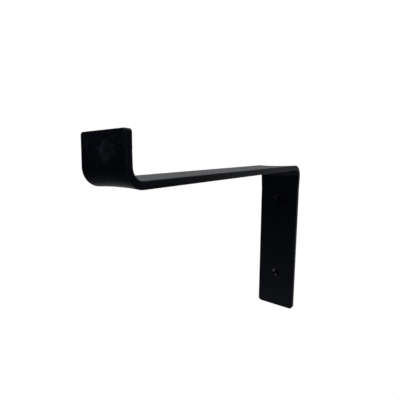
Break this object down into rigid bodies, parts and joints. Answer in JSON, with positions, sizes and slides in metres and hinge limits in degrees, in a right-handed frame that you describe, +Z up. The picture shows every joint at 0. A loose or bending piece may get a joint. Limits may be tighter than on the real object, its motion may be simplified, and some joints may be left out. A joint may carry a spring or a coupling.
{
  "type": "lipped shelf bracket",
  "caption": "Black powder-coated flat-bar shelf bracket: a screwed wall plate, a level arm that carries the board and an upturned front lip that stops it sliding off.",
  "frame": {"origin": "on the wall face, midway between the wall screws", "axes": "+X across the bar, +Y into the wall, so the arm reaches out along -Y, and +Z up"},
  "size_m": [0.0416, 0.2279, 0.185],
  "materials": {
    "powder_coat": "satin black powder coat with a fine grain"
  },
  "bodies": {
    "root": {"bracket": "powder_coat"}
  },
  "joints": []
}
